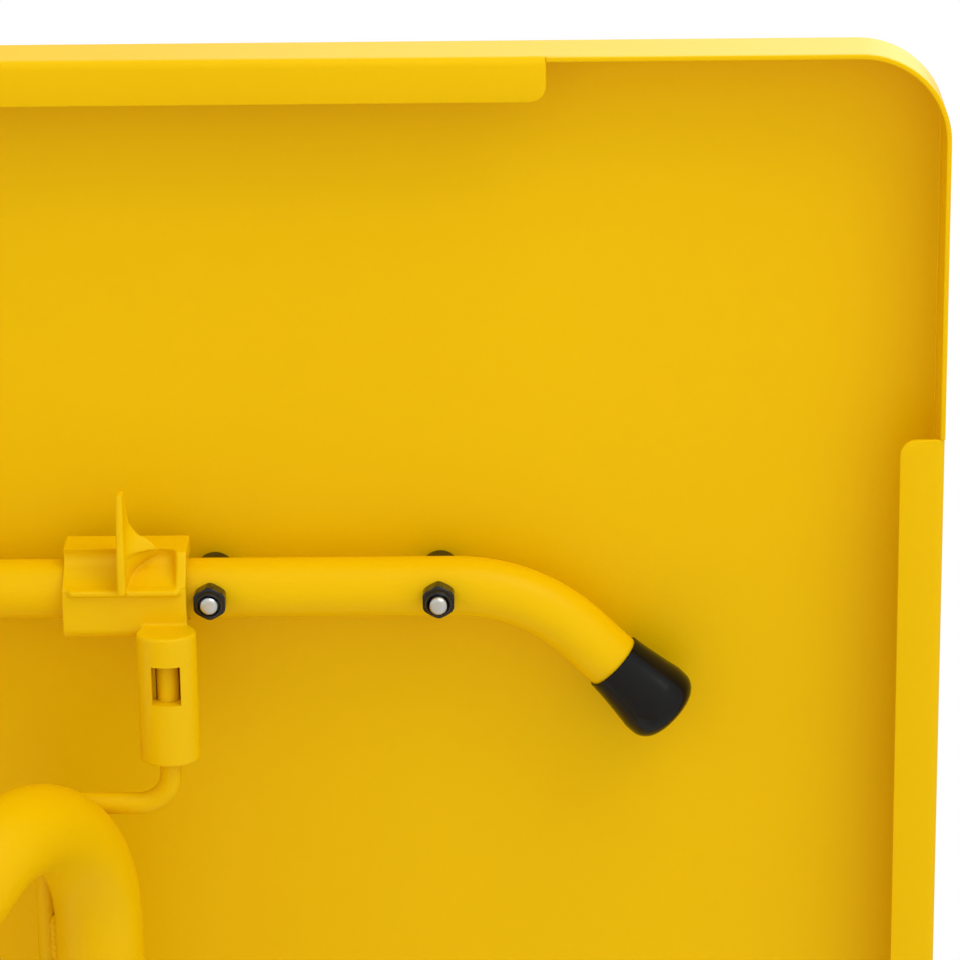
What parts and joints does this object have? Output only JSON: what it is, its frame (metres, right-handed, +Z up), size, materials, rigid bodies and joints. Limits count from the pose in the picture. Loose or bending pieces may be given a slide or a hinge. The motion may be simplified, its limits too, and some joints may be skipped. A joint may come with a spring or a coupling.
{
  "type": "folding table",
  "caption": "Square folding steel table: pan-shaped top on crossed tube leg frames, held open by snap clips over support bars under the top.",
  "frame": {"origin": "on the floor, under the middle of the top", "axes": "+Z up; X runs across the hinge line, Y along the support bars' setback, with the support bars at -Y (front) and +Y (back)"},
  "size_m": [0.71, 0.71, 0.74],
  "materials": {
    "yellow_powder_coat": "satin powder coat, signal yellow",
    "yellow_clip_plastic": "moulded, satin",
    "black_rubber": "smooth black",
    "black_oxide_steel": "blackened, satin",
    "zinc_plated_steel": "bright zinc plate"
  },
  "bodies": {
    "top": {"table_top": "yellow_powder_coat", "support_bar_front": "yellow_powder_coat", "support_bar_back": "yellow_powder_coat", "bar_cap_front_left": "black_rubber", "bar_spacer_front_left_outer": "black_oxide_steel", "bar_nut_front_left_outer": "black_oxide_steel", "bar_stud_front_left_outer": "zinc_plated_steel", "bar_spacer_front_left_inner": "black_oxide_steel", "bar_nut_front_left_inner": "black_oxide_steel", "bar_stud_front_left_inner": "zinc_plated_steel", "hinge_screw_front_left": "zinc_plated_steel", "bar_cap_front_right": "black_rubber", "bar_spacer_front_right_outer": "black_oxide_steel", "bar_nut_front_right_outer": "black_oxide_steel", "bar_stud_front_right_outer": "zinc_plated_steel", "bar_spacer_front_right_inner": "black_oxide_steel", "bar_nut_front_right_inner": "black_oxide_steel", "bar_stud_front_right_inner": "zinc_plated_steel", "hinge_screw_front_right": "zinc_plated_steel", "hinge_bracket_front": "yellow_powder_coat", "hinge_strap_front": "yellow_powder_coat", "bar_cap_back_left": "black_rubber", "bar_spacer_back_left_outer": "black_oxide_steel", "bar_nut_back_left_outer": "black_oxide_steel", "bar_stud_back_left_outer": "zinc_plated_steel", "bar_spacer_back_left_inner": "black_oxide_steel", "bar_nut_back_left_inner": "black_oxide_steel", "bar_stud_back_left_inner": "zinc_plated_steel", "hinge_screw_back_left": "zinc_plated_steel", "bar_cap_back_right": "black_rubber", "bar_spacer_back_right_outer": "black_oxide_steel", "bar_nut_back_right_outer": "black_oxide_steel", "bar_stud_back_right_outer": "zinc_plated_steel", "bar_spacer_back_right_inner": "black_oxide_steel", "bar_nut_back_right_inner": "black_oxide_steel", "bar_stud_back_right_inner": "zinc_plated_steel", "hinge_screw_back_right": "zinc_plated_steel", "hinge_bracket_back": "yellow_powder_coat", "hinge_strap_back": "yellow_powder_coat"},
    "wide_frame": {"wide_leg_frame": "yellow_powder_coat", "wide_foot_front": "black_rubber", "pivot_washer_front": "black_rubber", "pivot_bolt_front": "zinc_plated_steel", "pivot_nut_front": "black_oxide_steel", "wide_foot_back": "black_rubber", "pivot_washer_back": "black_rubber", "pivot_bolt_back": "zinc_plated_steel", "pivot_nut_back": "black_oxide_steel"},
    "narrow_frame": {"narrow_leg_frame": "yellow_powder_coat", "narrow_foot_front": "black_rubber", "lock_rod_front": "yellow_powder_coat", "narrow_foot_back": "black_rubber", "lock_rod_back": "yellow_powder_coat"},
    "lock_clip_front": {"lock_clip_front": "yellow_clip_plastic"},
    "lock_clip_back": {"lock_clip_back": "yellow_clip_plastic"}
  },
  "joints": [
    {"name": "frame_hinge", "type": "hinge", "parent": "top", "child": "wide_frame", "pos_m": [-0.0856, 0, 0.695], "axis": [0, 1, 0], "range_deg": [0, 107]},
    {"name": "scissor_pivot", "type": "hinge", "parent": "wide_frame", "child": "narrow_frame", "pos_m": [0, 0, 0.5238], "axis": [0, 1, 0], "range_deg": [-40.2, 0]},
    {"name": "clip_front", "type": "hinge", "parent": "narrow_frame", "child": "lock_clip_front", "pos_m": [0.11, -0.2, 0.7015], "axis": [0, -1, 0], "range_deg": [0, 90]},
    {"name": "clip_back", "type": "hinge", "parent": "narrow_frame", "child": "lock_clip_back", "pos_m": [0.11, 0.2, 0.7015], "axis": [0, -1, 0], "range_deg": [0, 90]}
  ],
  "couplings": [
    {"joint": "scissor_pivot", "follows": "frame_hinge", "ratio": -0.375}
  ]
}
